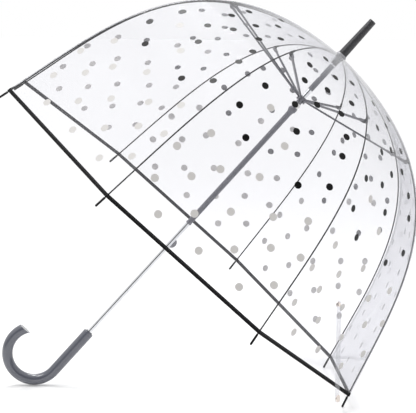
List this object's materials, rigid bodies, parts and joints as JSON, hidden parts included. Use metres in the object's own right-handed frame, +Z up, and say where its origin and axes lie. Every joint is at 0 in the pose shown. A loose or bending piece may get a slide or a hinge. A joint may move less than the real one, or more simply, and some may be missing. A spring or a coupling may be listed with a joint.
{
  "type": "clear dome umbrella",
  "caption": "Clear dome umbrella with printed dots, black ribs and hem tape, a sliding runner with stretchers, a chrome shaft and a grey crook handle",
  "frame": {"origin": "centre of the bounding box on the floor that the open umbrella rests on", "axes": "+Z up from the floor, +X the way the shaft rises from the crook to the ferrule as it leans, +Y across the canopy"},
  "size_m": [0.7214, 0.7848, 0.689],
  "materials": {
    "chrome_tube": "bright chrome plate",
    "grey_plastic": "glossy blue-grey",
    "dark_plastic": "satin charcoal",
    "clear_grey_plastic": "smoky",
    "spring_steel": "satin",
    "sleeve_plastic": "satin grey",
    "pale_plastic": "white",
    "clear_film": "clear, glossy film",
    "snap_metal": "pale satin",
    "black_steel": "black",
    "tip_plastic": "black",
    "hem_tape": "black woven tape",
    "grey_steel": "grey"
  },
  "bodies": {
    "frame": {"shaft_tube": "chrome_tube", "crook_handle": "grey_plastic", "handle_collar": "grey_plastic", "ferrule": "dark_plastic", "apex_washer": "clear_grey_plastic", "crown": "dark_plastic", "crown_wire": "spring_steel", "upper_stop": "sleeve_plastic"},
    "runner": {"runner_hub": "sleeve_plastic", "runner_wire": "spring_steel", "runner_neck": "pale_plastic", "runner_sleeve": "sleeve_plastic"},
    "lower_catch": {"lower_catch": "spring_steel"},
    "upper_catch": {"upper_catch": "spring_steel"},
    "rib_1": {"rib_1": "black_steel", "rib_tip_1": "tip_plastic", "canopy_panel_1": "clear_film", "hem_tape_1": "hem_tape"},
    "stretcher_1": {"stretcher_1": "grey_steel"},
    "rib_2": {"rib_2": "black_steel", "rib_tip_2": "tip_plastic", "canopy_panel_2": "clear_film", "hem_tape_2": "hem_tape"},
    "stretcher_2": {"stretcher_2": "grey_steel"},
    "rib_3": {"rib_3": "black_steel", "rib_tip_3": "tip_plastic", "canopy_panel_3": "clear_film", "hem_tape_3": "hem_tape"},
    "stretcher_3": {"stretcher_3": "grey_steel"},
    "rib_4": {"rib_4": "black_steel", "rib_tip_4": "tip_plastic", "canopy_panel_4": "clear_film", "hem_tape_4": "hem_tape"},
    "stretcher_4": {"stretcher_4": "grey_steel"},
    "rib_5": {"rib_5": "black_steel", "rib_tip_5": "tip_plastic", "canopy_panel_5": "clear_film", "hem_tape_5": "hem_tape"},
    "stretcher_5": {"stretcher_5": "grey_steel"},
    "rib_6": {"rib_6": "black_steel", "rib_tip_6": "tip_plastic", "canopy_panel_6": "clear_film", "hem_tape_6": "hem_tape"},
    "stretcher_6": {"stretcher_6": "grey_steel"},
    "rib_7": {"rib_7": "black_steel", "rib_tip_7": "tip_plastic", "canopy_panel_7": "clear_film", "hem_tape_7": "hem_tape", "strap_stud": "snap_metal"},
    "stretcher_7": {"stretcher_7": "grey_steel"},
    "rib_8": {"rib_8": "black_steel", "rib_tip_8": "tip_plastic", "canopy_panel_8": "clear_film", "hem_tape_8": "hem_tape"},
    "stretcher_8": {"stretcher_8": "grey_steel"},
    "strap": {"tie_strap": "clear_film", "snap_cap": "snap_metal"}
  },
  "joints": [
    {"name": "runner_slide", "type": "slide", "parent": "frame", "child": "runner", "axis": [-0.6652, 0, -0.7466], "range_m": [0, 0.25894], "deforming": ["lower_catch", "upper_catch", "canopy_panel_1", "canopy_panel_2", "canopy_panel_3", "canopy_panel_4", "canopy_panel_5", "canopy_panel_6", "canopy_panel_7", "canopy_panel_8", "hem_tape_1", "hem_tape_2", "hem_tape_3", "hem_tape_4", "hem_tape_5", "hem_tape_6", "hem_tape_7", "hem_tape_8"]},
    {"name": "rib_1_hinge", "type": "hinge", "parent": "frame", "child": "rib_1", "pos_m": [0.23928, 0.00306, 0.58524], "axis": [-0.2857, 0.9239, 0.2546], "range_deg": [0, 41.55]},
    {"name": "stretcher_1_hinge", "type": "hinge", "parent": "runner", "child": "stretcher_1", "pos_m": [0.17273, 0.00268, 0.51193], "axis": [-0.2857, 0.9239, 0.2546], "range_deg": [-46.14, 0]},
    {"name": "rib_2_hinge", "type": "hinge", "parent": "frame", "child": "rib_2", "pos_m": [0.23605, 0.00739, 0.58812], "axis": [-0.6898, 0.3827, 0.6146], "range_deg": [0, 41.55]},
    {"name": "stretcher_2_hinge", "type": "hinge", "parent": "runner", "child": "stretcher_2", "pos_m": [0.1699, 0.00647, 0.51446], "axis": [-0.6898, 0.3827, 0.6146], "range_deg": [-46.14, 0]},
    {"name": "rib_3_hinge", "type": "hinge", "parent": "frame", "child": "rib_3", "pos_m": [0.23148, 0.00739, 0.59219], "axis": [-0.6898, -0.3827, 0.6146], "range_deg": [0, 41.55]},
    {"name": "stretcher_3_hinge", "type": "hinge", "parent": "runner", "child": "stretcher_3", "pos_m": [0.1659, 0.00647, 0.51802], "axis": [-0.6898, -0.3827, 0.6146], "range_deg": [-46.14, 0]},
    {"name": "rib_4_hinge", "type": "hinge", "parent": "frame", "child": "rib_4", "pos_m": [0.22824, 0.00306, 0.59507], "axis": [-0.2857, -0.9239, 0.2546], "range_deg": [0, 41.55]},
    {"name": "stretcher_4_hinge", "type": "hinge", "parent": "runner", "child": "stretcher_4", "pos_m": [0.16308, 0.00268, 0.52054], "axis": [-0.2857, -0.9239, 0.2546], "range_deg": [-46.14, 0]},
    {"name": "rib_5_hinge", "type": "hinge", "parent": "frame", "child": "rib_5", "pos_m": [0.22824, -0.00306, 0.59507], "axis": [0.2857, -0.9239, -0.2546], "range_deg": [0, 41.55]},
    {"name": "stretcher_5_hinge", "type": "hinge", "parent": "runner", "child": "stretcher_5", "pos_m": [0.16308, -0.00268, 0.52054], "axis": [0.2857, -0.9239, -0.2546], "range_deg": [-46.14, 0]},
    {"name": "rib_6_hinge", "type": "hinge", "parent": "frame", "child": "rib_6", "pos_m": [0.23148, -0.00739, 0.59219], "axis": [0.6898, -0.3827, -0.6146], "range_deg": [0, 41.55]},
    {"name": "stretcher_6_hinge", "type": "hinge", "parent": "runner", "child": "stretcher_6", "pos_m": [0.1659, -0.00647, 0.51802], "axis": [0.6898, -0.3827, -0.6146], "range_deg": [-46.14, 0]},
    {"name": "rib_7_hinge", "type": "hinge", "parent": "frame", "child": "rib_7", "pos_m": [0.23605, -0.00739, 0.58812], "axis": [0.6898, 0.3827, -0.6146], "range_deg": [0, 41.55]},
    {"name": "stretcher_7_hinge", "type": "hinge", "parent": "runner", "child": "stretcher_7", "pos_m": [0.1699, -0.00647, 0.51446], "axis": [0.6898, 0.3827, -0.6146], "range_deg": [-46.14, 0]},
    {"name": "rib_8_hinge", "type": "hinge", "parent": "frame", "child": "rib_8", "pos_m": [0.23928, -0.00306, 0.58524], "axis": [0.2857, 0.9239, -0.2546], "range_deg": [0, 41.55]},
    {"name": "stretcher_8_hinge", "type": "hinge", "parent": "runner", "child": "stretcher_8", "pos_m": [0.17273, -0.00268, 0.51193], "axis": [0.2857, 0.9239, -0.2546], "range_deg": [-46.14, 0]},
    {"name": "lower_catch_press", "type": "slide", "parent": "frame", "child": "lower_catch", "axis": [-0.7466, 0, 0.6652], "range_m": [0, 0.0048], "stiffness_N_per_m": 600},
    {"name": "upper_catch_press", "type": "slide", "parent": "frame", "child": "upper_catch", "axis": [-0.7466, 0, 0.6652], "range_m": [0, 0.0026], "stiffness_N_per_m": 900},
    {"name": "tie_strap_swing", "type": "hinge", "parent": "rib_7", "child": "strap", "pos_m": [0.21183, -0.26602, 0.1954], "axis": [0.8013, -0.5983, 0], "range_deg": [-60, 40]}
  ],
  "couplings": [
    {"joint": "rib_1_hinge", "follows": "runner_slide", "rad_per_m": 2.7972},
    {"joint": "stretcher_1_hinge", "follows": "runner_slide", "rad_per_m": -3.1064},
    {"joint": "rib_2_hinge", "follows": "runner_slide", "rad_per_m": 2.7972},
    {"joint": "stretcher_2_hinge", "follows": "runner_slide", "rad_per_m": -3.1064},
    {"joint": "rib_3_hinge", "follows": "runner_slide", "rad_per_m": 2.7972},
    {"joint": "stretcher_3_hinge", "follows": "runner_slide", "rad_per_m": -3.1064},
    {"joint": "rib_4_hinge", "follows": "runner_slide", "rad_per_m": 2.7972},
    {"joint": "stretcher_4_hinge", "follows": "runner_slide", "rad_per_m": -3.1064},
    {"joint": "rib_5_hinge", "follows": "runner_slide", "rad_per_m": 2.7972},
    {"joint": "stretcher_5_hinge", "follows": "runner_slide", "rad_per_m": -3.1064},
    {"joint": "rib_6_hinge", "follows": "runner_slide", "rad_per_m": 2.7972},
    {"joint": "stretcher_6_hinge", "follows": "runner_slide", "rad_per_m": -3.1064},
    {"joint": "rib_7_hinge", "follows": "runner_slide", "rad_per_m": 2.7972},
    {"joint": "stretcher_7_hinge", "follows": "runner_slide", "rad_per_m": -3.1064},
    {"joint": "rib_8_hinge", "follows": "runner_slide", "rad_per_m": 2.7972},
    {"joint": "stretcher_8_hinge", "follows": "runner_slide", "rad_per_m": -3.1064}
  ]
}
